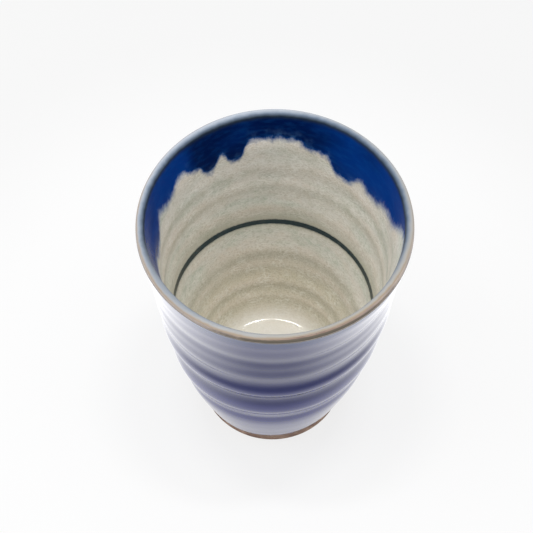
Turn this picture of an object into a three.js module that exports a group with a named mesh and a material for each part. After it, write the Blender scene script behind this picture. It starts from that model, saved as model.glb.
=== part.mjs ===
// A shochu cup of thrown stoneware: one clay body, a blue coat outside, a pale lining, a blue band that
// runs down inside from the lip, and a dark line brushed round the lining.
// Millimetres, +Z up. The cup's axis is the Z axis and its foot stands on z = 0.
import * as THREE from 'three';

// The whole cup, glaze included.
const height = 114;

// The clay wall's outside, before the glaze and between the throwing grooves.
const lipRadius = 43.7;
const bellyInset = 2.3;
const bellyBelowLip = 22;
const footRadius = 27.8;
const bodyPower = 1.7;
const flarePower = 1.8;

// The clay's thickness and the floor inside.
const lipWall = 2;
const footWall = 3.2;
const floorHeight = 8.3;
const cornerRise = 8;
const cornerRun = 6;

// The turned foot: a bare band, a flat ring to stand on and a recess under the floor.
const footHeight = 6.5;
const footRingWidth = 4.6;
const footRecess = 3;
const footChamfer = 0.6;

// Throwing grooves outside: the highest one's distance below the lip, then an even pitch. Each is deeper than
// the one above it.
const grooveBelowLip = 20;
const groovePitch = 16.8;
const grooveCount = 4;
const grooveDepth = 0.4;
const grooveDeepening = 0.33;

// The coats, each a hair clear of the clay that it covers.
const bondGap = 0.02;
const outerCoat = 0.5;
const liningCoat = 0.45;
const rimCoat = 0.35;
const bareLip = 0.4;
const bareShoulder = THREE.MathUtils.degToRad(55);

// The blue band inside: its width below the lip, and its runs. A run hangs at an angle that turns from the
// front (-Y) towards +X, and a run of negative length is a place where the band draws up.
const bandWidth = 11.5;
const bandSeam = 0.05;
const bandMargin = 3;
const runs = [
  { angle: 18, length: 5, spread: 16 },
  { angle: 80, length: -7, spread: 16 },
  { angle: 126, length: 5, spread: 11 },
  { angle: 142, length: 9, spread: 12 },
  { angle: 207, length: 8, spread: 12 },
  { angle: 244, length: 4, spread: 12 },
  { angle: 266, length: 10, spread: 10 },
  { angle: 318, length: 6, spread: 18 },
];

// The brushed line inside.
const lineHeight = 58;
const lineWidth = 1.75;

// How finely the surfaces are divided.
const columns = 48;
const stepsPerGroove = 4;
const plainStep = 6;
const insideStep = 8;
const cornerSteps = 5;
const lipSteps = 6;

// Sizes that follow from those above.
const lipRound = lipWall / 2;
const lipSpring = height - rimCoat - bondGap - lipRound;
const bellyRadius = lipRadius - bellyInset;
const bellyHeight = height - bellyBelowLip;
const coatTop = lipSpring - bareLip;
const highGroove = height - grooveBelowLip;
const lowGroove = highGroove - (grooveCount - 1) * groovePitch;
const ringsFrom = Math.max(footHeight + plainStep, lowGroove - groovePitch / 2);
const ringsTo = Math.min(coatTop - plainStep / 2, highGroove + groovePitch / 2);
const lineDepth = liningCoat / 2;

const point = (radius, z) => new THREE.Vector2(radius, z);

// Even heights from one to another, without the last.
function heights(from, to, step) {
  const count = Math.max(1, Math.round((to - from) / step));
  return Array.from({ length: count }, (_, k) => from + ((to - from) * k) / count);
}

// The wall's outside without grooves: a rounding curve up to the belly, then a slight flare to the lip.
function plainRadius(z) {
  if (z < bellyHeight) {
    const below = (bellyHeight - z) / (bellyHeight - footHeight);
    return bellyRadius - (bellyRadius - footRadius) * below ** bodyPower;
  }
  const above = (z - bellyHeight) / (lipSpring - bellyHeight);
  return bellyRadius + (lipRadius - bellyRadius) * above ** flarePower;
}

// The wall's outside with its grooves, which fade out past the first and last one.
function outsideRadius(z) {
  if (z < ringsFrom || z > ringsTo) return plainRadius(z);
  const down = (highGroove - z) / groovePitch;
  const depth = grooveDepth + grooveDeepening * down;
  return plainRadius(z) - depth * Math.cos(Math.PI * down) ** 4;
}

// The height of the blue band's lower edge at an angle round the cup.
function dripHeight(angle) {
  const degrees = THREE.MathUtils.radToDeg(angle);
  const drop = runs.reduce((sum, run) => {
    const away = THREE.MathUtils.euclideanModulo(degrees - run.angle + 180, 360) - 180;
    return sum + run.length * Math.exp(-((away / run.spread) ** 2));
  }, bandWidth);
  return height - drop;
}

const angles = Array.from({ length: columns + 1 }, (_, k) => (2 * Math.PI * k) / columns);
const straightFrom = Math.min(...angles.map(dripHeight)) - bandMargin;

// The clay's inside: the wall gets thinner towards the lip, and it is a straight cone behind the blue band.
function insideCurve(z) {
  const up = (z - footHeight) / (lipSpring - footHeight);
  return plainRadius(z) - footWall + (footWall - lipWall) * up * up;
}
function insideRadius(z) {
  if (z < straightFrom) return insideCurve(z);
  const up = (z - straightFrom) / (lipSpring - straightFrom);
  return THREE.MathUtils.lerp(insideCurve(straightFrom), insideCurve(lipSpring), up);
}

// The heights at which the outside wall is measured, from the foot to the top of its coat.
const wallHeights = [
  ...heights(footHeight, ringsFrom, plainStep),
  ...heights(ringsFrom, ringsTo, groovePitch / stepsPerGroove),
  ...heights(ringsTo, coatTop, plainStep),
  coatTop,
];

// The clay's inside from the centre of the floor up to where it becomes a cone.
const cornerTop = floorHeight + cornerRise;
const corner = new THREE.QuadraticBezierCurve(
  point(insideRadius(floorHeight) - cornerRun, floorHeight),
  point(insideRadius(floorHeight), floorHeight),
  point(insideRadius(cornerTop), cornerTop),
);
const insideProfile = [
  point(0, floorHeight),
  ...corner.getPoints(cornerSteps).slice(0, -1),
  ...heights(cornerTop, straightFrom, insideStep).map((z) => point(insideRadius(z), z)),
  point(insideRadius(straightFrom), straightFrom),
];

// The round lip, from its outer side over the top to its inner side, grown by the coat on it.
function lipArc(grown, from) {
  const centre = outsideRadius(lipSpring) - lipRound;
  const radius = lipRound + grown;
  return Array.from({ length: lipSteps + 1 }, (_, k) => {
    const turn = THREE.MathUtils.lerp(from, Math.PI, k / lipSteps);
    return point(centre + radius * Math.cos(turn), lipSpring + radius * Math.sin(turn));
  });
}

// The outside wall grown by a coat, from the foot upwards.
const outsideProfile = (grown) => wallHeights.map((z) => point(outsideRadius(z) + grown, z));

// The inside wall and floor covered by a coat, from the floor's centre outwards.
const coveredInside = (coat) => insideProfile.map((p) => point(Math.max(0, p.x - coat), p.y + coat));

// A turned mesh whose profile may change with the angle. Every profile runs counterclockwise.
function turned(name, look, profileAt) {
  const rows = profileAt(0).length;
  const geometry = new THREE.LatheGeometry(profileAt(0), columns);
  angles.forEach((angle, column) => {
    profileAt(angle).forEach((p, row) => {
      const index = column * rows + row;
      geometry.attributes.position.setXYZ(index, p.x * Math.sin(angle), p.y, p.x * Math.cos(angle));
    });
  });
  geometry.computeVertexNormals();
  const mesh = new THREE.Mesh(geometry, new THREE.MeshStandardMaterial(look));
  mesh.name = name;
  mesh.rotation.x = Math.PI / 2;
  return mesh;
}

const closed = (profile) => [...profile, profile[0]];

// Wall, floor and foot in one, from under the floor round the foot, over the lip and down inside.
function clayBody() {
  const ringInside = footRadius - footRingWidth;
  const profile = [
    point(0, footRecess),
    point(ringInside - footRecess / 2, footRecess),
    point(ringInside, 0),
    point(footRadius - footChamfer, 0),
    point(footRadius, footChamfer),
    ...outsideProfile(0),
    ...lipArc(0, 0),
    ...insideProfile.toReversed(),
  ];
  return turned('clay_body', { color: 0x7e6761, roughness: 0.85, metalness: 0 }, () => profile);
}

// The blue coat outside, with a rounded lower edge above the bare foot.
function outerGlaze() {
  const back = outsideProfile(bondGap);
  const front = outsideProfile(bondGap + outerCoat);
  const edge = [
    point(footRadius + bondGap + outerCoat / 2, footHeight),
    point(outsideRadius(footHeight + outerCoat) + bondGap + outerCoat, footHeight + outerCoat),
  ];
  const profile = closed([back[0], ...edge, ...front.slice(1), ...back.slice(1).toReversed()]);
  return turned('outer_glaze', { color: 0x3d477f, roughness: 0.15, metalness: 0 }, () => profile);
}

const liningFront = (z) => insideRadius(z - bondGap - liningCoat) - bondGap - liningCoat;

// The pale coat inside, up to the blue band's edge, with a shallow groove that holds the brushed line.
function liningGlaze() {
  const grooveLow = lineHeight - lineWidth / 2 - bondGap;
  const grooveHigh = lineHeight + lineWidth / 2 + bondGap;
  const sunk = lineDepth + bondGap;
  const front = coveredInside(bondGap + liningCoat);
  const groove = [
    point(liningFront(grooveLow), grooveLow),
    point(liningFront(grooveLow) + sunk, grooveLow),
    point(liningFront(grooveHigh) + sunk, grooveHigh),
    point(liningFront(grooveHigh), grooveHigh),
  ];
  const grooved = [
    ...front.filter((p) => p.y < grooveLow),
    ...groove,
    ...front.filter((p) => p.y > grooveHigh),
  ];
  const profileAt = (angle) => {
    const edge = dripHeight(angle) - bandSeam / 2;
    return [
      ...coveredInside(bondGap),
      point(insideRadius(edge) - bondGap, edge),
      point(insideRadius(edge) - bondGap - liningCoat, edge),
      ...grooved.toReversed(),
    ];
  };
  return turned('lining_glaze', { color: 0xcfc9b8, roughness: 0.2, metalness: 0 }, profileAt);
}

// The blue band, from the lip's outer shoulder over the top and down inside to its wavy edge.
function rimGlaze() {
  const profileAt = (angle) => {
    const edge = dripHeight(angle) + bandSeam / 2;
    return closed([
      ...lipArc(bondGap + rimCoat, bareShoulder),
      point(insideRadius(edge) - bondGap - rimCoat, edge),
      point(insideRadius(edge) - bondGap, edge),
      ...lipArc(bondGap, bareShoulder).toReversed(),
    ]);
  };
  return turned('rim_glaze', { color: 0x0f3272, roughness: 0.15, metalness: 0 }, profileAt);
}

// The brushed line, flush with the lining that it lies in.
function paintedLine() {
  const low = lineHeight - lineWidth / 2;
  const high = lineHeight + lineWidth / 2;
  const profile = closed([
    point(liningFront(low) + lineDepth, low),
    point(liningFront(high) + lineDepth, high),
    point(liningFront(high), high),
    point(liningFront(low), low),
  ]);
  return turned('painted_line', { color: 0x273436, roughness: 0.25, metalness: 0 }, () => profile);
}

const cup = new THREE.Group();
cup.add(clayBody(), outerGlaze(), liningGlaze(), rimGlaze(), paintedLine());

export default cup;
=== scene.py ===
"""A thrown shochu cup: a bare clay foot and shoulder, a blue coat outside, a pale crackled lining with
a brushed line, and a blue band that runs down inside from the lip."""

import bpy
import numpy as np
from mathutils import Matrix, Vector


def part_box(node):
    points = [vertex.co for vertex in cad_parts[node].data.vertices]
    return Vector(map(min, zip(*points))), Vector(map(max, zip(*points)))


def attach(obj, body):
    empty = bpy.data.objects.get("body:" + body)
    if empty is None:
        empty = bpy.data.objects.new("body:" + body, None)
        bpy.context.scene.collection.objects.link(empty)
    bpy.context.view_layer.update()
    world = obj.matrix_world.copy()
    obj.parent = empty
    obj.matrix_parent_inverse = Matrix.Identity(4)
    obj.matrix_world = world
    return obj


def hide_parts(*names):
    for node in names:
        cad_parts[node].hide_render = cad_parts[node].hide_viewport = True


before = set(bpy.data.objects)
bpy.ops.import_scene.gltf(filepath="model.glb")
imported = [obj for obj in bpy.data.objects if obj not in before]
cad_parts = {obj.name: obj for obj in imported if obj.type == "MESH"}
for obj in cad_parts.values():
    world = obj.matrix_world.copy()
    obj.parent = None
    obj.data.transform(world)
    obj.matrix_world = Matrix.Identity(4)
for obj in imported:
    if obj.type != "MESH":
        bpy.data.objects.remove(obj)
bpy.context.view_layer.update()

# Lengths are in millimetres until a mesh, a finish, a lamp or the camera is made.
MM = 0.001

# Angles run from the front (-Y) towards +X.
COLUMNS = 360
TURN = np.linspace(0, 2 * np.pi, COLUMNS, endpoint=False)
QUARTER = np.pi / 2
SHARP_ANGLE = np.radians(50)


def span(node):
    """A CAD node's lowest and highest corner in millimetres."""
    low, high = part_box(node)
    return np.array(low) / MM, np.array(high) / MM


coat_low, coat_high = span("outer_glaze")
line_low, line_high = span("painted_line")
lining_low, _ = span("lining_glaze")
_, band_high = span("rim_glaze")

# Sizes that follow the CAD. The rim and the lip keep a little inside it.
RIM_INSET = 0.12
LIP_INSET = 0.05
HEIGHT = band_high[2]
RIM_RADIUS = coat_high[0] - RIM_INSET
FOOT_TOP = coat_low[2]
COAT_TOP = coat_high[2]
LINE_HEIGHT = (line_low[2] + line_high[2]) / 2
LINE_WIDTH = line_high[2] - line_low[2]

# The wall's outside as it is seen, glaze included, and the powers that bend its curves.
BELLY_RADIUS = 41.75
BELLY_BELOW_LIP = 22
BELLY_HEIGHT = HEIGHT - BELLY_BELOW_LIP
FOOT_GLAZED = 28.2
BODY_POWER = 1.66
INSIDE_POWER = 2
FLARE_POWER = 1.7

# The wall's whole thickness, the lip's round end, and what happens just below it: the rings fade, the
# outside is tucked in between two distances, and the inside is drawn to the round end.
WALL_FOOT = 4.5
WALL_LIP = 2.9
LIP_HALF = WALL_LIP / 2
LIP_HEIGHT = HEIGHT - LIP_HALF - LIP_INSET
LIP_LEAN = np.radians(12)
LIP_SQUARE = 2.15
RING_FADE = 2
TUCK = 0.1
TUCK_FROM = 3
TUCK_TO = 0.3
LIP_DRAW = 6

# Coats: how thick they are, how thin they end, and the hair's breadth that keeps them off the clay. The
# coat's taper is a length and the band's an angle round the lip.
COAT = 0.5
LINING = 0.43
BAND = 0.3
THIN = 0.05
HAIR = 0.02
COAT_TAPER = 3
BAND_TAPER = 0.8

# The floor inside, the curve that leads up from it to the wall, and the pool of glaze: how far up it
# reaches, and where and how much it fades outwards.
FLOOR = lining_low[2] + LINING
CORNER_RISE = 8
CORNER_RUN = 5.1
POOL_RISE = 7
POOL_FADES = (5, 22)
POOL_FADE = 0.55

# The heights between which the lower wall's yellow ends.
LOW_WALL = (30, 46)

# The foot's bare clay, its softened edges, how far it goes up behind the coat, and its turning marks:
# height and pace in the recess, and height, pace and wander on the foot.
FOOT_RADIUS = 27.75
FOOT_RING = 4.6
FOOT_RECESS = 3
FOOT_ROUND = 0.6
FOOT_INSET = 0.1
EDGE_SOFT = 0.4
FOOT_UP = 0.1
WALL_UP = 0.4
RECESS_MARK = 0.12
RECESS_PACE = 1.3
FOOT_MARKS = [(0.05, 7, 1), (0.03, 17, 0)]

# Wavers round the cup: height, times round and start of each wave. The lip also sinks a little, from a
# height upwards. The line's half-width is a share of its CAD width and swells. The bare edge on the lip
# is in degrees. The coat's lower edge stands up a little and sags to the left and right.
LIP_SINK = 0.5
LIP_WAVES = [(0.32, 1, 0), (-0.06, 1, QUARTER), (0.37, 2, QUARTER)]
SWAY_FROM = 60
LINE_WAVES = [(0.18, 1, 0.6), (-0.2, 1, 0), (0.1, 3, 0)]
BRUSH_WAVES = [(0.1, 2, 1), (0.07, 5, 0)]
BRUSH_SWELL = 0.35
BRUSH_SHARE = 0.6
BARE_EDGE = 54
BARE_WAVES = [(22, 1, QUARTER), (14, 2, 0), (3, 4, 0), (2, 9, 0)]
COAT_EDGE_UP = 0.2
COAT_EDGE_SAG = 1.5
COAT_EDGE_WAVES = [(0.12, 2, 1), (0.08, 5, 0)]
INSIDE_WAVES = [(0.4, 1, 0), (0.2, 3, 0)]

# Where the first rows lie, just off an edge or the axis: the angle round the clay's lip, the share of
# the pool's width and the radius in the foot's recess.
CLAY_LIP_START = 0.02
POOL_START = 0.04
RECESS_START = 0.5

# How many rows each surface has. Backs, which don't show, have few rows or take one in every few of the
# front's.
POOL_ROWS = 12
CORNER_ROWS = 26
LOWER_ROWS = 96
UPPER_ROWS = 84
LINE_ROWS = 9
LIP_ROWS = 36
BAND_ROWS = 64
COAT_ROWS = 230
BEAD_ROWS = 8
RECESS_ROWS = 70
TOE_ROWS = 7
EDGE_ROWS = 6
FOOT_ROWS = 30
WALL_ROWS = 60
CLAY_LIP_ROWS = 40
CLAY_INSIDE_ROWS = 24
BACK_ROWS = 14
BAND_BACK_ROWS = 12
BACK_STEP = 4
COAT_BACK_STEP = 10

# How the throwing marks outside climb with the angle's sine, its square and its cube, how much the
# first two lose with each millimetre of height, how much the marks lose behind, and their strength by
# powers of the sine, the fourth power first.
CLIMB = 5.25
CLIMB_LOSS = 0.04
CLIMB_BOW = 1.5
CLIMB_BOW_LOSS = 0.02
CLIMB_ENDS = 2.9
RING_BACK = 0.2
RING_STRENGTH = [-0.9, 0, 0.3, -0.05, 0.92]

# Throwing marks outside and inside: height, relief and half-width of each bell.
RINGS_OUTSIDE = [
    (107.4, 0.17, 2.8),
    (92.7, -0.97, 4.4),
    (86.3, -0.78, 3.8),
    (75.7, -1.28, 6.9),
    (69.5, 0.86, 4.1),
    (65.2, 0.52, 4.8),
    (63.3, -1.08, 4.2),
    (59.7, -0.51, 3.6),
    (51.8, 1.31, 5.2),
    (41.5, -0.36, 2.5),
    (36, 1.1, 8.2),
    (24.9, 0.9, 9.3),
    (7.5, 0.9, 12.5),
    (3, -0.6, 6),
]
RINGS_INSIDE = [
    (99, 0.2, 4.5),
    (89, 0.35, 3.4),
    (79, 0.5, 3.2),
    (66, 0.35, 3.6),
    (42.5, 0.6, 3.6),
    (35, 0.3, 2.6),
    (25.5, 0.5, 2.5),
    (18, 0.4, 2.2),
]

# The olive below each mark inside, partly a real stain and partly painted shade under the mark, and the
# blush above it: how far below or above the mark they lie, and how wide the olive is by itself and with
# the mark.
STAIN_SHADE_BELOW = 2.4
STAIN_SHADE_HALF = 0.6
STAIN_SHADE_SPREAD = 0.8
BLUSH_ABOVE = 0.6

# Where the blue band is darkened at the back with painted shade, feathered and worn: angle and
# half-width in degrees. How worn it is at least, in front and in those places, with the cosines between
# which the front begins. Where its pale top is warm.
BAND_SHADED_BEHIND = [(178, 34), (216, 12)]
BAND_FEATHER = [(264, 24), (102, 32)]
BAND_WORN = [(268, 22)]
WORN_LEAST = 0.3
WORN_FRONT = 0.4
WORN_PLACES = 0.35
FRONT_COSINES = (0.1, 0.6)
WARM_SIDE = np.radians(40)

# How far past the lip's highest point its pale top breaks: everywhere, more in front and behind, more
# on the right, and less round an early side.
BREAK = 0.95
BREAK_ENDS = 0.7
BREAK_RIGHT = 0.05
BREAK_EARLY = 0.8
EARLY_SIDE = np.radians(310)

# The dark strip on the clay under the lip, partly fumes and partly painted shade under the lip: the
# side that it is on and the least of it elsewhere, where it begins over the coat's top and how this
# slants, how far up it reaches and towards which side further, and how softly it begins and ends.
FUME_AND_SHADE_SIDE = np.radians(15)
FUME_AND_SHADE_LEAST = 0.1
FUME_AND_SHADE_FROM = 0.3
FUME_AND_SHADE_SLANT = 0.7
FUME_AND_SHADE_REACH = 1.04
FUME_AND_SHADE_FURTHER = 0.6
FUME_AND_SHADE_FURTHER_SIDE = np.radians(25)
FUME_AND_SHADE_SOFT = 0.3
FUME_AND_SHADE_END = 0.4

# The clay's grey shoulder: how grey it is, how much of that the dark strip of fumes and painted shade
# takes, and how far below the coat's top and into that strip this begins.
SHOULDER_GREY = 0.75
SHOULDER_FUMED_AND_SHADED = 0.65
SHOULDER_FROM = 4
SHOULDER_SOFT = 0.5

# The blue band's width and its runs: angle in degrees, length and half-width in degrees.
BAND_WIDTH = 11.4
RUNS = [
    (22, 6, 10),
    (52, -7, 13),
    (76, -8.5, 16),
    (104, 3, 9),
    (122, 7.2, 10),
    (142, 10.5, 9.5),
    (160, 3.2, 7),
    (200, 8, 5),
    (206, 2.6, 3.5),
    (215, 8.6, 5.2),
    (224, 3, 5),
    (246, 4.2, 8),
    (268, 11, 9.5),
    (287, 7, 10),
    (308, -8, 12),
    (332, 7, 12),
]


def waves(turn, terms):
    """A sum of sines, each given as its height, its times round and its start."""
    return sum(height * np.sin(times * turn + start) for height, times, start in terms)


def rings(z, marks):
    """Throwing marks: a sum of bells over the height."""
    return sum(relief * np.exp(-(((z - at) / half) ** 2)) for at, relief, half in marks)


def outer_rings(z, turn):
    """The marks outside. They climb towards +X with the sine of the angle and its cube, less its
    square. Their strength is a polynomial of the sine, faintest at the left and right, and falls with
    the cosine behind."""
    side = np.sin(turn)
    bow = (CLIMB_BOW - CLIMB_BOW_LOSS * z) * side**2
    climb = (CLIMB - CLIMB_LOSS * z) * side - bow + CLIMB_ENDS * side**3
    strength = (1 - RING_BACK + RING_BACK * np.cos(turn)) * np.polyval(RING_STRENGTH, side)
    return rings(z - climb, RINGS_OUTSIDE) * strength


def inner_rings(z, turn):
    """The marks inside, which waver a little in height."""
    return rings(z - waves(turn, INSIDE_WAVES), RINGS_INSIDE)


def plain(z, power):
    """A wall without rings: a curve up to the belly and then a flare, each growing as a power."""
    below = np.clip((BELLY_HEIGHT - z) / (BELLY_HEIGHT - FOOT_TOP), 0, 1)
    above = np.clip((z - BELLY_HEIGHT) / (LIP_HEIGHT - BELLY_HEIGHT), 0, None)
    narrowing = (BELLY_RADIUS - FOOT_GLAZED) * below**power
    flare = (RIM_RADIUS - BELLY_RADIUS) * above**FLARE_POWER
    return BELLY_RADIUS - narrowing + flare


def ease(x, low, high):
    """A soft step: 0 below low, 1 above high, and a cubic between them."""
    t = np.clip((x - low) / (high - low), 0, 1)
    return t * t * (3 - 2 * t)


def outside(z, turn):
    """The outside as it is seen: the plain curve, rings that fade where the wall rounds over into the
    lip, and a slight tuck just below it."""
    ringed = outer_rings(z, turn) * (1 - ease(z, LIP_HEIGHT - RING_FADE, LIP_HEIGHT))
    tucked = TUCK * ease(z, LIP_HEIGHT - TUCK_FROM, LIP_HEIGHT - TUCK_TO)
    return plain(z, BODY_POWER) + ringed - tucked


def inside(z, turn):
    """The inside as it is seen: a fuller plain curve less rings and a wall thinning as a parabola."""
    up = np.clip((z - FOOT_TOP) / (LIP_HEIGHT - FOOT_TOP), 0, 1)
    wall = WALL_FOOT - (WALL_FOOT - WALL_LIP) * up**2
    return plain(z, INSIDE_POWER) - wall - inner_rings(z, turn)


def apart(turn, angle):
    """How far each direction lies from an angle, from -180 to 180 degrees."""
    return (np.degrees(turn) - angle + 180) % 360 - 180


def drip(turn):
    """The blue band's lower edge: a level line less a sum of flat-ended bells, one for each run."""
    drops = [length * np.exp(-(np.abs(apart(turn, angle) / half) ** 3)) for angle, length, half in RUNS]
    return HEIGHT - BAND_WIDTH - sum(drops)


def bells(turn, places):
    """Bells at places round the cup, given as angle and half-width in degrees."""
    return sum(np.exp(-((apart(turn, angle) / half) ** 2)) for angle, half in places)


def sway(turn):
    """The lip's slow waver under its highest point: lowest at the left, highest behind."""
    return waves(turn, LIP_WAVES) - LIP_SINK


def line_middle(turn):
    """The brushed line's height: a hand's slow waver about its level."""
    return LINE_HEIGHT + waves(turn, LINE_WAVES)


def line_half(turn):
    """Half the brushed line's width, which swells to the left and right and thins with the brush."""
    brush = BRUSH_SWELL * np.sin(turn) ** 2 + waves(turn, BRUSH_WAVES)
    return BRUSH_SHARE * LINE_WIDTH * (1 + brush)


def bare_edge(turn):
    """Where the blue band begins on the lip's outer side, as an angle round the lip: furthest up at the
    front right and lower behind, a little uneven."""
    return np.radians(BARE_EDGE + waves(turn, BARE_WAVES))


def facing(turn, side, power):
    """How squarely each direction faces a side: the cosine, where it is positive, to a power."""
    return np.clip(np.cos(turn - side), 0, 1) ** power


def lip_break(turn):
    """How far past the lip's highest point its pale top breaks into the inner blue: a sum of the
    cosine's square, the sine and an early side."""
    early = BREAK_EARLY * facing(turn, EARLY_SIDE, 6)
    return BREAK + BREAK_ENDS * np.cos(turn) ** 2 + BREAK_RIGHT * np.sin(turn) - early


def lip(turn, sunk, bow):
    """The lip's round end: a squarish ellipse leaning with the wall, from bow 0 outside to pi
    inside."""
    half = LIP_HALF - sunk
    across = half * np.sign(np.cos(bow)) * np.abs(np.cos(bow)) ** (2 / LIP_SQUARE)
    up = half * np.abs(np.sin(bow)) ** (2 / LIP_SQUARE)
    start = LIP_HEIGHT - LIP_HALF * np.sin(LIP_LEAN)
    centre = outside(start, turn) - LIP_HALF * np.cos(LIP_LEAN)
    radius = centre + across * np.cos(LIP_LEAN) + up * np.sin(LIP_LEAN)
    height = LIP_HEIGHT - across * np.sin(LIP_LEAN) + up * np.cos(LIP_LEAN)
    return radius, np.broadcast_to(height, radius.shape)


def inside_near_lip(z, turn):
    """The inside, drawn over its last few millimetres to where the lip's round end begins."""
    end_radius, end_z = lip(turn, 0, np.pi)
    pull = ease(z, end_z - LIP_DRAW, end_z)
    return inside(z, turn) + pull * (end_radius - inside(end_z, turn))


def rows(low, high, count):
    """Even steps from low to high, as rows over the columns."""
    share = np.linspace(0, 1, count)[:, None]
    return low + (high - low) * share


def joined(parts):
    """Stack rows of radius and height, each given as a pair, into two whole arrays."""
    full = [np.broadcast_arrays(radius, z, TURN[None])[:2] for radius, z in parts]
    return np.vstack([radius for radius, _ in full]), np.vstack([z for _, z in full])


def turned_faces(count, poled):
    """Quads between neighbouring rows and columns. A poled surface ends in a fan about each of its
    poles, whose points come last; any other closes on itself."""
    row = np.arange(count - 1 if poled else count)[:, None]
    column = np.arange(COLUMNS)
    ahead = (column + 1) % COLUMNS
    above = (row + 1) % count
    here = [row * COLUMNS + column, row * COLUMNS + ahead]
    next_row = [above * COLUMNS + ahead, above * COLUMNS + column]
    faces = np.stack(here + next_row, -1).reshape(-1, 4).tolist()
    if poled:
        first = np.full(COLUMNS, count * COLUMNS)
        top = (count - 1) * COLUMNS
        faces += np.stack([first, ahead, column], -1).tolist()
        faces += np.stack([top + column, top + ahead, first + 1], -1).tolist()
    return faces


def turned_piece(name, radius, z, fields, poled):
    """A surface carried round the axis, x = r sin(turn) and y = -r cos(turn), from rows of radius and
    height over the columns, counterclockwise in section. A poled one starts and ends on the axis."""
    z = z + sway(TURN) * ease(z, SWAY_FROM, HEIGHT)
    place = np.stack([radius * np.sin(TURN), -radius * np.cos(TURN), z], -1).reshape(-1, 3)
    if poled:
        place = np.vstack([place, [0, 0, z[0].mean()], [0, 0, z[-1].mean()]])
    mesh = bpy.data.meshes.new(name)
    mesh.from_pydata((place * MM).tolist(), [], turned_faces(len(radius), poled))
    for field, values in fields.items():
        values = np.broadcast_to(values, radius.shape)
        flat = values.ravel()
        if poled:
            flat = np.append(flat, [values[0].mean(), values[-1].mean()])
        mesh.attributes.new(field, "FLOAT", "POINT").data.foreach_set("value", flat.astype(np.float32))
    mesh.polygons.foreach_set("use_smooth", np.ones(len(mesh.polygons), bool))
    mesh.set_sharp_from_angle(angle=SHARP_ANGLE)
    piece = bpy.data.objects.new(name, mesh)
    bpy.context.scene.collection.objects.link(piece)
    return piece


def wear(piece, node, material):
    """Put a piece in a CAD node's place, with its finish."""
    piece.data.materials.append(material)
    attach(piece, "root")
    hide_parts(node)


class Field:
    """A socket of a shader tree. Arithmetic on fields adds Math nodes; node() adds any other node."""

    def __init__(self, tree, socket=None):
        self.tree = tree
        self.socket = socket

    def feed(self, target, value):
        """Link a field to a socket, or set the socket to a plain value."""
        if isinstance(value, Field):
            self.tree.links.new(value.socket, target)
        else:
            target.default_value = value

    def node(self, kind, settings=None, inputs=None, output=0):
        """Add a node of this type: its settings first, then the values or links of its sockets."""
        made = self.tree.nodes.new("ShaderNode" + kind)
        for setting, value in (settings or {}).items():
            setattr(made, setting, value)
        for socket, value in (inputs or {}).items():
            self.feed(made.inputs[socket], value)
        return Field(self.tree, made.outputs[output])

    def math(self, operation, *values):
        """Add a Math node."""
        return self.node("Math", {"operation": operation}, dict(enumerate(values)))

    def __add__(self, other):
        return self.math("ADD", self, other)

    def __sub__(self, other):
        return self.math("SUBTRACT", self, other)

    def __rsub__(self, other):
        return self.math("SUBTRACT", other, self)

    def __mul__(self, other):
        return self.math("MULTIPLY", self, other)

    __radd__ = __add__
    __rmul__ = __mul__

    def step(self, low, high):
        """A soft step from 0 at low to 1 at high."""
        return self.node("MapRange", {"interpolation_type": "SMOOTHSTEP"}, {0: self, 1: low, 2: high})

    def blend(self, none, full):
        """A colour that goes from none where this value is 0 to full where it is 1."""
        return self.node("Mix", {"data_type": "RGBA"}, {0: self, 6: none, 7: full}, output=2)

    def attribute(self, field):
        """A piece's own field of numbers."""
        return self.node("Attribute", {"attribute_name": field}, output="Fac")

    def place(self, grain, level, upright):
        """Object coordinates in grains of this many millimetres, drawn out level and upright."""
        at = self.node("TexCoord", output="Object")
        across = 1 / (grain * MM * level)
        up = 1 / (grain * MM * upright)
        return self.node("VectorMath", {"operation": "MULTIPLY"}, {0: at, 1: (across, across, up)})

    def noise(self, grain, detail=2, level=1, upright=1):
        """Cloudy noise of about this grain, from 0 to 1."""
        place = self.place(grain, level, upright)
        return self.node("TexNoise", None, {"Vector": place, "Scale": 1, "Detail": detail})

    def stir(self, amount, grain, **drawn):
        """Cloudy noise about 0 that spans this amount."""
        return (self.noise(grain, **drawn) - 0.5) * amount

    def cracks(self, grain, width):
        """A net of hairlines round cells of this grain: 1 on a line and 0 off it."""
        cells = {"Vector": self.place(grain, 1, 1), "Scale": 1, "Randomness": 0.9}
        away = self.node("TexVoronoi", {"feature": "DISTANCE_TO_EDGE"}, cells)
        return 1 - away.step(0, width / grain)

    def ridges(self, grain, width, level):
        """Wandering hairlines, where a cloudy noise crosses its middle: 1 on a line and 0 off it."""
        away = self.math("ABSOLUTE", self.stir(1, grain, detail=3, level=level))
        return 1 - away.step(0, width)

    def bump(self, height, depth):
        """A normal from a height field from 0 to 1 that stands for this many millimetres."""
        return self.node("Bump", None, {"Height": height, "Distance": depth * MM, "Strength": 1})


def colour(red, green, blue):
    """A full colour from its linear values."""
    return (red, green, blue, 1)


def finish(name, **uniform):
    """A new material: its shader, with values that are the same all over, and a field to build on."""
    material = bpy.data.materials.new(name)
    material.use_nodes = True
    tree = material.node_tree
    shader = tree.nodes["Principled BSDF"]
    for socket, value in uniform.items():
        shader.inputs[socket.replace("_", " ")].default_value = value
    return material, shader.inputs, Field(tree)


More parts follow.
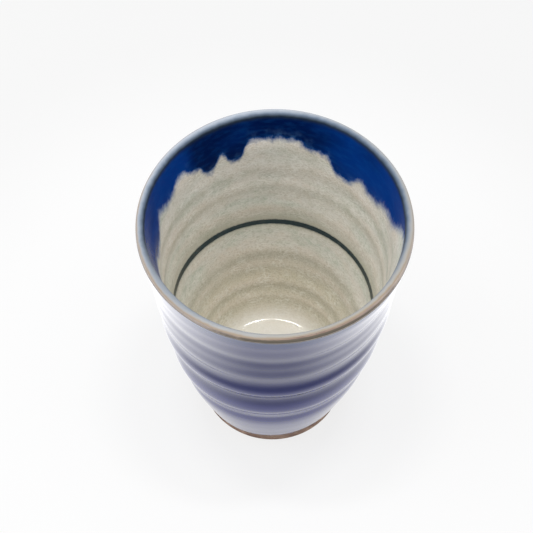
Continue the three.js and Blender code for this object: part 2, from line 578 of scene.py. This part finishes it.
# Colours of the pieces, as linear values.
CLAY_DARK = colour(0.17, 0.1, 0.078)
CLAY_LIGHT = colour(0.4, 0.275, 0.205)
CLAY_SHOULDER = colour(0.44, 0.41, 0.38)
OLIVE = colour(0.115, 0.098, 0.075)
BLUE_DEEP = colour(0.02, 0.025, 0.1)
BLUE_THIN = colour(0.042, 0.047, 0.185)
BLUE_GREY = colour(0.07, 0.092, 0.19)
COBALT_DEEP = colour(0.0003, 0.009, 0.068)
COBALT = colour(0.0004, 0.034, 0.22)
COBALT_THIN = colour(0.006, 0.09, 0.33)
COBALT_HAZE = colour(0.09, 0.21, 0.42)
LIP_BLUE = colour(0.4, 0.44, 0.5)
LIP_PALE = colour(0.345, 0.335, 0.31)
LIP_SLATE = colour(0.15, 0.19, 0.25)
LIP_MIST = colour(0.25, 0.275, 0.31)
LIP_DARK = colour(0.018, 0.03, 0.05)
LIP_OCHRE = colour(0.33, 0.235, 0.145)
LINING_PALE = colour(0.88, 0.865, 0.82)
LINING_WARM = colour(0.8, 0.75, 0.67)
LINING_GREEN = colour(0.58, 0.635, 0.545)
LINING_BLUSH = colour(0.76, 0.66, 0.56)
LINING_STAIN_AND_SHADE = colour(0.44, 0.43, 0.33)
LINING_LOW = colour(0.67, 0.6, 0.44)
POOL = colour(0.91, 0.9, 0.91)
CRACK_WHITE = colour(0.97, 0.96, 0.9)
CRACK_DARK = colour(0.34, 0.31, 0.22)
LINE_TEAL = colour(0.003, 0.026, 0.037)
BAND_GLOSS = colour(0.15, 0.4, 1)


def clay_finish():
    """Bare fired stoneware: mottled brown with dark iron specks and a fine grain, grey on the shoulder
    and olive in a strip under the lip that is partly fumes and partly painted shade."""
    material, sockets, base = finish("bare_clay", Roughness=0.8)
    mottle = base.noise(grain=6, detail=4).step(0.3, 0.7)
    specks = base.noise(grain=0.5, detail=1).step(0.66, 0.74)
    body = base.attribute("shoulder").blend(mottle.blend(CLAY_DARK, CLAY_LIGHT), CLAY_SHOULDER)
    # The olive strip under the lip is partly fumes on the clay and partly painted shade.
    fume_and_shade = (base.attribute("fume_and_shade") + base.stir(0.5, grain=1.5)).step(0.2, 0.8)
    base.feed(sockets["Base Color"], base.math("MAXIMUM", specks * 0.7, fume_and_shade).blend(body, OLIVE))
    base.feed(sockets["Normal"], base.bump(base.noise(grain=0.35, detail=3), depth=0.06))
    return material


def coat_finish():
    """The blue coat: deep where it lies heavy, thinner on the rings' crests, greyer below the lip and
    olive along its upper edge in front, partly dark iron clay under thin glaze and partly painted shade
    under the lip."""
    material, sockets, base = finish("blue_coat", IOR=1.5)
    cloud = base.noise(grain=9, detail=4, upright=0.5)
    crest = base.attribute("crest").step(-0.4, 0.8)
    body = (crest * 0.6 + cloud * 0.3).blend(BLUE_DEEP, BLUE_THIN)
    below = base.attribute("below_lip") + base.stir(2, grain=3)
    greyed = (1 - below.step(1, 9)).blend(body, BLUE_GREY)
    # Olive along the coat's top in front: partly iron clay under thin glaze, partly painted shade under
    # the lip.
    edge = (1 - below.step(1.4, 2.4)) * base.attribute("front") * 0.6
    base.feed(sockets["Base Color"], edge.blend(greyed, OLIVE))
    base.feed(sockets["Roughness"], 0.08 + 0.06 * cloud)
    base.feed(sockets["Normal"], base.bump(base.noise(grain=2.2), depth=0.02))
    return material


def running_blue(base):
    """The band's blue and how far it covers. Its edge is a field of distance frayed by coarse and fine
    noise; within it the blue is blotched and darker at the back with painted shade, thinner at the edge
    and hazy in places."""
    fray = base.stir(4, grain=3.4, detail=3) + base.stir(2, grain=1.1, upright=2)
    edge = base.attribute("edge") + fray
    # The deeper cobalt at the back and back left is painted shade.
    shaded_behind = base.attribute("shaded_behind") + base.stir(1.4, grain=11, level=1.6)
    streak = base.noise(grain=1.6, detail=3, level=2.5).step(0.4, 0.75) * 0.16
    solid = streak.blend(shaded_behind.step(0, 1.1).blend(COBALT, COBALT_DEEP), COBALT_THIN)
    fringe = (1 - edge.step(0.2, 2.6)) * 0.75
    haze = base.noise(grain=4, detail=4).step(0.48, 0.72) * (1 - edge.step(1.5, 6)) * 0.25
    soft = 1.7 + 2 * base.attribute("feather")
    return edge.step(soft * -1, soft), haze.blend(fringe.blend(solid, COBALT_THIN), COBALT_HAZE)


def ash_white(base):
    """The lining's colour and its crackle: green-grey and warm clouds under pale streaks, a blush above
    each ring and olive staining below it that is partly painted shade, yellower low down, crossed by
    pale squiggles and dark grains, smooth in the pool, and smeared beside the line under an olive halo
    that is partly bled iron and partly painted shade."""
    cloud = base.noise(grain=9, level=2).step(0.34, 0.64)
    streak = base.noise(grain=1.8, detail=4, level=1.6).step(0.3, 0.7)
    streaked = (streak * 0.65).blend(cloud.blend(LINING_GREEN, LINING_WARM), LINING_PALE)
    yellowed = (base.attribute("low") * 0.75).blend(streaked, LINING_LOW)
    patchy = base.noise(grain=12, detail=1, level=2).step(0.25, 0.7)
    blushed = (base.attribute("blush") * patchy * 0.7).blend(yellowed, LINING_BLUSH)
    # The olive below each mark is partly a real stain and partly painted shade under the mark.
    stained_and_shaded = (base.attribute("stain_and_shade") * (0.6 + 0.4 * patchy)).blend(blushed, LINING_STAIN_AND_SHADE)
    dry = 1 - base.attribute("pool")
    squiggle = base.ridges(grain=1.4, width=0.08, level=2) * base.noise(grain=5).step(0.38, 0.6)
    crackle = base.math("MAXIMUM", squiggle, base.cracks(grain=1, width=0.2) * 0.5) * dry
    crackled = (crackle * 0.62).blend(stained_and_shaded, CRACK_WHITE)
    speckle = base.noise(grain=0.6, level=1.5).step(0.45, 0.75) * 0.3
    speckled = (speckle * dry).blend(crackled, CRACK_DARK)
    pooled = (base.attribute("pool") * 0.85).blend(speckled, POOL)
    away = base.attribute("line")
    # The olive halo above the line is partly bled iron and partly painted shade.
    halo = (1 - base.math("ABSOLUTE", away - 0.8).step(0.8, 4.4)) * (0.5 + 0.2 * patchy)
    pigment = 0.4 + 0.5 * base.noise(grain=1.6).step(0.35, 0.6)
    smear = (1 - base.math("ABSOLUTE", away).step(0.6, 1.8)) * pigment
    return smear.blend(halo.blend(pooled, LINING_STAIN_AND_SHADE), LINE_TEAL), crackle


def lining_finish():
    """The pale lining, glossy and crackled, with the band's blue running into it."""
    material, sockets, base = finish("pale_lining", IOR=1.5)
    cover, blue = running_blue(base)
    white, crackle = ash_white(base)
    dry = 1 - base.attribute("pool")
    uneven = (base.noise(grain=1.6) + crackle * 0.4) * dry
    base.feed(sockets["Base Color"], cover.blend(white, blue))
    base.feed(sockets["Roughness"], 0.05 + dry * (0.1 + 0.12 * base.noise(grain=4)))
    base.feed(sockets["Normal"], base.bump(uneven, depth=0.03))
    return material


def band_finish():
    """The blue band: ochre where it is worn on the lip's outer side, pale over the top, slate or misty
    where it breaks over the inner edge, and cobalt inside."""
    material, sockets, base = finish("blue_band", IOR=1.1, Specular_Tint=BAND_GLOSS)
    cover, blue = running_blue(base)
    white, _ = ash_white(base)
    along = base.attribute("lip") + base.stir(0.7, grain=2.5)
    front = base.attribute("front")
    top = (base.attribute("warm") + base.stir(0.5, grain=12)).blend(LIP_BLUE, LIP_PALE)
    middle = along.step(-1.4, 0.4).blend(top, front.blend(LIP_SLATE, LIP_MIST))
    inner = along.step(1, 2.9).blend(front.blend(LIP_DARK, LIP_MIST), cover.blend(white, blue))
    shore = base.attribute("shore") + base.stir(0.8, grain=2.5)
    bare = (1 - shore.step(0.1, 0.95)) * base.attribute("worn")
    base.feed(sockets["Base Color"], bare.blend(along.step(-0.3, 1.5).blend(middle, inner), LIP_OCHRE))
    base.feed(sockets["Roughness"], 0.14 + 0.1 * base.noise(grain=4))
    base.feed(sockets["Normal"], base.bump(base.noise(grain=1.6), depth=0.02))
    return material


def line_finish():
    """The brushed line: dark teal pigment, thinner in places, under a softer gloss."""
    material, sockets, base = finish("dark_line", IOR=1.35)
    thin = base.noise(grain=1.8, detail=3, level=2).step(0.5, 0.8) * 0.06
    base.feed(sockets["Base Color"], thin.blend(LINE_TEAL, LINING_STAIN_AND_SHADE))
    base.feed(sockets["Roughness"], 0.12 + 0.12 * base.noise(grain=4))
    base.feed(sockets["Normal"], base.bump(base.noise(grain=1.6), depth=0.03))
    return material


def inside_fields(radius, z):
    """What the inside's colours follow: height over the band's edge, where the band is shaded behind or
    feathered, olive staining with painted shade below the marks and blushes above them, height over the
    line in half-widths, the lower wall and the pool."""
    stains_and_shade = [
        (at - STAIN_SHADE_BELOW, relief, STAIN_SHADE_HALF + STAIN_SHADE_SPREAD * half) for at, relief, half in RINGS_INSIDE
    ]
    blushes = [(at + BLUSH_ABOVE, 1, half) for at, _, half in RINGS_INSIDE]
    return {
        "edge": z - drip(TURN),
        "shaded_behind": bells(TURN, BAND_SHADED_BEHIND),
        "feather": bells(TURN, BAND_FEATHER),
        "stain_and_shade": rings(z, stains_and_shade),
        "blush": rings(z, blushes),
        "line": (z - line_middle(TURN)) / line_half(TURN),
        "low": 1 - ease(z, *LOW_WALL),
        "pool": (1 - ease(z, FLOOR, FLOOR + POOL_RISE)) * (1 - POOL_FADE * ease(radius, *POOL_FADES)),
    }


def band_fields(radius, z):
    """What the band's colours follow: the inside's fields, the way over the lip from where its pale top
    breaks and from the bare edge, the front, the worn places and the warm side."""
    steps = np.hypot(np.diff(radius, axis=0), np.diff(z, axis=0))
    along = np.vstack([np.zeros(COLUMNS), np.cumsum(steps, axis=0)])
    crest = np.argmax(z[:, 0])
    front = ease(np.cos(TURN), *FRONT_COSINES)
    return {
        **inside_fields(radius, z),
        "lip": along - along[crest] - lip_break(TURN),
        "shore": along,
        "front": front,
        "worn": WORN_LEAST + WORN_FRONT * front + WORN_PLACES * bells(TURN, BAND_WORN),
        "warm": 0.5 + 0.5 * np.cos(TURN - WARM_SIDE),
    }


def clay_fields(z):
    """What the clay's colours follow: a dark strip of fumes and painted shade over the coat's top,
    mostly in front, and a grey shoulder that gives way to it."""
    over = z - COAT_TOP
    front = facing(TURN, FUME_AND_SHADE_SIDE, 4)
    begin = FUME_AND_SHADE_FROM + FUME_AND_SHADE_SLANT * np.sin(TURN) * front
    reach = FUME_AND_SHADE_REACH + FUME_AND_SHADE_FURTHER * np.cos(TURN - FUME_AND_SHADE_FURTHER_SIDE)
    strip = ease(over, begin - FUME_AND_SHADE_SOFT, begin + FUME_AND_SHADE_SOFT) * (1 - ease(over, reach - FUME_AND_SHADE_END, reach))
    fumed_and_shaded = SHOULDER_FUMED_AND_SHADED * front * ease(over, begin, begin + SHOULDER_SOFT)
    return {
        "fume_and_shade": strip * (FUME_AND_SHADE_LEAST + (1 - FUME_AND_SHADE_LEAST) * front),
        "shoulder": ease(over, -SHOULDER_FROM, 0) * (SHOULDER_GREY - fumed_and_shaded),
    }


def coat_thickness(z):
    """The blue coat's thickness, which tapers to its thin upper edge."""
    return COAT - (COAT - THIN) * ease(z, COAT_TOP - COAT_TAPER, COAT_TOP)


def band_thickness(bow):
    """The band's thickness round the lip, which grows from its thin end at the bare edge."""
    start = bare_edge(TURN)
    return THIN + (BAND - THIN) * ease(bow, start, start + BAND_TAPER)


def lining_section():
    """The lining's front from the floor outwards: a flat pool and a quadratic curve, each as rows of
    radius and height, and the height at which the wall begins."""
    foot_of_wall = inside(FLOOR, TURN)
    corner_top = FLOOR + CORNER_RISE
    head_of_corner = inside(corner_top, TURN)
    t = rows(0, 1, CORNER_ROWS)[1:]
    edge = foot_of_wall - CORNER_RUN
    corner_radius = (1 - t) ** 2 * edge + 2 * t * (1 - t) * foot_of_wall + t**2 * head_of_corner
    pool = (rows(POOL_START, 1, POOL_ROWS) * edge, FLOOR)
    return pool, (corner_radius, FLOOR + t**2 * CORNER_RISE), corner_top


def make_lining():
    """Front and back of the lining. The front has a groove that the brushed line fills."""
    pool, corner, corner_top = lining_section()
    middle, half = line_middle(TURN), line_half(TURN) + HAIR
    low, high = middle - half, middle + half
    below = rows(corner_top, low, LOWER_ROWS)[1:]
    over = rows(high, drip(TURN), UPPER_ROWS)
    sunk = LINING / 2
    groove = [(inside(low, TURN) + sunk, low[None]), (inside(high, TURN) + sunk, high[None])]
    front = joined([pool, corner, (inside(below, TURN), below), *groove, (inside(over, TURN), over)])
    back_z = rows(corner_top, drip(TURN), BACK_ROWS)
    back_pool = (pool[0][::BACK_STEP], FLOOR - LINING)
    back_corner = (corner[0][::BACK_STEP] + LINING, corner[1][::BACK_STEP] - LINING)
    back = joined([back_pool, back_corner, (inside(back_z, TURN) + LINING, back_z)])
    radius = np.vstack([back[0], front[0][::-1]])
    z = np.vstack([back[1], front[1][::-1]])
    return turned_piece("ash_lining", radius, z, inside_fields(radius, z), poled=True)


def make_line():
    """The brushed line: a thin ring whose face is flush with the lining."""
    middle, half = line_middle(TURN), line_half(TURN)
    z = rows(middle - half, middle + half, LINE_ROWS)
    sunk = LINING / 2 - HAIR
    radius, z = joined([(inside(z, TURN) + sunk, z), (inside(z, TURN)[::-1], z[::-1])])
    return turned_piece("brushed_line", radius, z, {}, poled=False)


def make_band():
    """The blue band: over the lip from its bare edge, down the inside to the runs' ends, and a back."""
    start = bare_edge(TURN)
    lip_radius, lip_height = lip(TURN, 0, rows(start, np.pi, LIP_ROWS))
    z = rows(lip_height[-1], drip(TURN), BAND_ROWS)[1:]
    front = [(lip_radius, lip_height), (inside_near_lip(z, TURN), z)]
    back_z = rows(drip(TURN), lip_height[-1], BAND_BACK_ROWS)[:-1]
    back_bow = rows(np.pi, start, BACK_ROWS)
    back_lip = lip(TURN, band_thickness(back_bow), back_bow)
    radius, z = joined([*front, (inside_near_lip(back_z, TURN) + BAND, back_z), back_lip])
    return turned_piece("cobalt_band", radius, z, band_fields(radius, z), poled=False)


def make_coat():
    """The blue coat: a rounded lower edge, the ringed front up to a thin upper edge, and a back."""
    edge = FOOT_TOP + COAT_EDGE_UP + waves(TURN, COAT_EDGE_WAVES) - COAT_EDGE_SAG * np.sin(TURN) ** 2
    start = edge + COAT
    bow = rows(-QUARTER, 0, BEAD_ROWS)[:-1]
    bead = (outside(start, TURN) - COAT + COAT * np.cos(bow), start + COAT * np.sin(bow))
    front_z = rows(start, COAT_TOP, COAT_ROWS)
    front = (outside(front_z, TURN), front_z)
    back_z = front_z[::-COAT_BACK_STEP]
    back = (outside(back_z, TURN) - coat_thickness(back_z), back_z)
    radius, z = joined([bead, front, back])
    fields = {
        "crest": outer_rings(z, TURN),
        "below_lip": HEIGHT - z,
        "front": facing(TURN, 0, 4),
    }
    return turned_piece("blue_coat", radius, z, fields, poled=False)


def clay_foot():
    """The foot from the axis outwards: the recess and its spiral mark, its side, the sole, the rounded
    toe and the bare band with its turning marks."""
    ring_inside = FOOT_RADIUS - FOOT_RING
    recess_edge = ring_inside - FOOT_RECESS / 2
    recess_radius = rows(RECESS_START, recess_edge, RECESS_ROWS)
    spiral = np.abs(np.sin(recess_radius * RECESS_PACE + TURN / 2))
    recess = (recess_radius, FOOT_RECESS - RECESS_MARK * spiral)
    side_radius = rows(recess_edge + EDGE_SOFT / 2, ring_inside, EDGE_ROWS)
    side = (side_radius, rows(FOOT_RECESS - EDGE_SOFT, EDGE_SOFT, EDGE_ROWS))
    sole = (np.array([[ring_inside + EDGE_SOFT], [FOOT_RADIUS - FOOT_ROUND]]), 0)
    bow = rows(-QUARTER, 0, TOE_ROWS)[1:]
    toe = (FOOT_RADIUS - FOOT_ROUND + FOOT_ROUND * np.cos(bow), FOOT_ROUND + FOOT_ROUND * np.sin(bow))
    foot_z = rows(FOOT_ROUND, FOOT_TOP + FOOT_UP, FOOT_ROWS)[1:]
    marks = waves(foot_z, [(relief, pace, wander * np.sin(TURN)) for relief, pace, wander in FOOT_MARKS])
    return [recess, side, sole, toe, (FOOT_RADIUS - FOOT_INSET + marks, foot_z)]


def make_clay():
    """The clay: the foot, the wall behind the coat, the bare shoulder and the lip, and the inside
    behind the lining down to the floor."""
    wall_z = rows(FOOT_TOP + WALL_UP, COAT_TOP, WALL_ROWS)
    wall = (outside(wall_z, TURN) - coat_thickness(wall_z) - HAIR, wall_z)
    bow = rows(CLAY_LIP_START, np.pi, CLAY_LIP_ROWS)
    shoulder = lip(TURN, band_thickness(bow) + HAIR, bow)
    pool, corner, corner_top = lining_section()
    under = LINING + HAIR
    hidden_z = rows(lip(TURN, 0, np.pi)[1], corner_top, CLAY_INSIDE_ROWS)[1:]
    hidden = (inside_near_lip(hidden_z, TURN) + under, hidden_z)
    turn_in = (corner[0][::-BACK_STEP] + under, corner[1][::-BACK_STEP] - under)
    seat = (pool[0][::-BACK_STEP], FLOOR - under)
    radius, z = joined([*clay_foot(), wall, shoulder, hidden, turn_in, seat])
    return turned_piece("thrown_clay", radius, z, clay_fields(z), poled=True)


wear(make_clay(), "clay_body", clay_finish())
wear(make_coat(), "outer_glaze", coat_finish())
wear(make_lining(), "lining_glaze", lining_finish())
wear(make_band(), "rim_glaze", band_finish())
wear(make_line(), "painted_line", line_finish())

# The ground: nearly white to the camera, and a little dimmer between two distances all round. In gloss
# it glows brighter between two distances to the left and right of the cup, a painted pool of light, and
# dark between two distances all round, painted shade far off. Part of what is seen of it stays matt,
# which keeps the cup's shadow.
GROUND_SIZE = 6000
GROUND_GLOW = 0.8
GROUND_MATT = colour(0.9, 0.9, 0.9)
GROUND_WHITE = 0.94
GROUND_NEAR = 0.93
GROUND_SIDE = 1.62
GROUND_SIDES = (10, 94)
GROUND_FAR = 0.07
GROUND_FARS = (76, 137)
GROUND_DIM = 0.075
GROUND_DIMS = (100, 190)

# The surround's level for the cup, two boxes side by side above it, and two that light it from the left
# and right.
SKY_LEVEL = 0.72
LAMP_HEIGHT = 1200
LAMP_RADIANCE = 80
LAMP_SIZE = (205, 60)
LAMP_GAP = 125
LAMP_BACK = 60
SIDE_PLACE = (450, -50, 600)
SIDE_SIZE = (350, 350)
SIDE_RADIANCES = (3.3, 1.2)


def seen_ray(base):
    """1 for rays that show the surroundings: from the camera, in gloss and through glass."""
    kinds = ("Is Camera Ray", "Is Glossy Ray", "Is Transmission Ray")
    camera, gloss, glass = [base.node("LightPath", output=kind) for kind in kinds]
    return base.math("MAXIMUM", base.math("MAXIMUM", camera, gloss), glass)


def grey(level):
    """The ground's white at this strength."""
    return colour(level * GROUND_WHITE, level * GROUND_WHITE, level * GROUND_WHITE)


def between(distance, reach):
    """A soft step of a distance over a reach in millimetres."""
    return distance.step(reach[0] * MM, reach[1] * MM)


def ground_shine(base):
    """The ground's light as it is seen, a little dimmer far off, and as it shows in gloss."""
    place = base.node("TexCoord", output="Object")
    across = base.math("ABSOLUTE", base.node("SeparateXYZ", None, {0: place}))
    away = base.node("VectorMath", {"operation": "LENGTH"}, {0: place}, output="Value")
    bright = between(across, GROUND_SIDES).blend(grey(GROUND_NEAR), grey(GROUND_NEAR + GROUND_SIDE))
    in_gloss = between(away, GROUND_FARS).blend(bright, grey(GROUND_FAR))
    seen = between(away, GROUND_DIMS).blend(grey(1), grey(1 - GROUND_DIM))
    return base.node("LightPath", output="Is Glossy Ray").blend(seen, in_gloss)


def make_ground():
    """A square sheet just under the foot."""
    half = GROUND_SIZE / 2 * MM
    under = -HAIR * MM
    corners = [(-half, -half, under), (half, -half, under), (half, half, under), (-half, half, under)]
    mesh = bpy.data.meshes.new("ground")
    mesh.from_pydata(corners, [], [(0, 1, 2, 3)])
    material = bpy.data.materials.new("white_ground")
    material.use_nodes = True
    tree = material.node_tree
    tree.nodes.remove(tree.nodes["Principled BSDF"])
    base = Field(tree)
    matt = base.node("BsdfDiffuse", None, {"Color": GROUND_MATT})
    glow = base.node("Emission", None, {"Color": ground_shine(base)})
    mixed = base.node("MixShader", None, {0: seen_ray(base) * GROUND_GLOW, 1: matt, 2: glow})
    base.feed(tree.nodes["Material Output"].inputs["Surface"], mixed)
    mesh.materials.append(material)
    ground = bpy.data.objects.new("ground", mesh)
    bpy.context.scene.collection.objects.link(ground)


def make_sky():
    """A white surround: nearly full white is seen, and a lower level lights the cup."""
    world = bpy.data.worlds.new("studio")
    bpy.context.scene.world = world
    world.use_nodes = True
    base = Field(world.node_tree)
    sockets = world.node_tree.nodes["Background"].inputs
    base.feed(sockets["Color"], colour(1, 1, 1))
    base.feed(sockets["Strength"], SKY_LEVEL + (GROUND_WHITE - SKY_LEVEL) * seen_ray(base))


def make_lamp(name, centre, size, radiance, target=None):
    """A soft box whose power is its radiance times pi and its area. Without a target it faces down and
    shows in gloss; with one it faces that and doesn't show."""
    lamp = bpy.data.lights.new(name, "AREA")
    lamp.shape = "RECTANGLE"
    lamp.size = size[0] * MM
    lamp.size_y = size[1] * MM
    lamp.energy = radiance * np.pi * lamp.size * lamp.size_y
    box = bpy.data.objects.new(name, lamp)
    box.location = Vector(centre) * MM
    if target:
        box.rotation_euler = (Vector(target) - Vector(centre)).to_track_quat("-Z", "Y").to_euler()
    box.visible_camera = False
    box.visible_glossy = not target
    bpy.context.scene.collection.objects.link(box)


make_ground()
make_sky()
for side, radiance in zip((-1, 1), SIDE_RADIANCES):
    across = side * (LAMP_SIZE[0] + LAMP_GAP) / 2
    make_lamp(f"top_box_{side + 1}", (across, LAMP_BACK, LAMP_HEIGHT), LAMP_SIZE, LAMP_RADIANCE)
    beside = (side * SIDE_PLACE[0], *SIDE_PLACE[1:])
    make_lamp(f"side_box_{side + 1}", beside, SIDE_SIZE, radiance, target=(0, 0, HEIGHT))

# The camera, as fitted to the photograph's rim, line and foot.
IMAGE_PIXELS = 533
FOCAL_PIXELS = 1108.2
SENSOR = 36
CAMERA_PLACE = (-2.51, -193.72, 402.32)
CAMERA_PITCH = np.radians(58.693)
CAMERA_ROLL = np.radians(0.464)

camera_data = bpy.data.cameras.new("camera")
camera_data.sensor_width = SENSOR
camera_data.lens = SENSOR * FOCAL_PIXELS / IMAGE_PIXELS
camera = bpy.data.objects.new("camera", camera_data)
tilt = Matrix.Rotation(np.pi / 2 - CAMERA_PITCH, 4, "X") @ Matrix.Rotation(CAMERA_ROLL, 4, "Z")
camera.matrix_world = Matrix.Translation(np.array(CAMERA_PLACE) * MM) @ tilt
bpy.context.scene.collection.objects.link(camera)
bpy.context.scene.camera = camera
bpy.context.scene.view_settings.view_transform = "Standard"
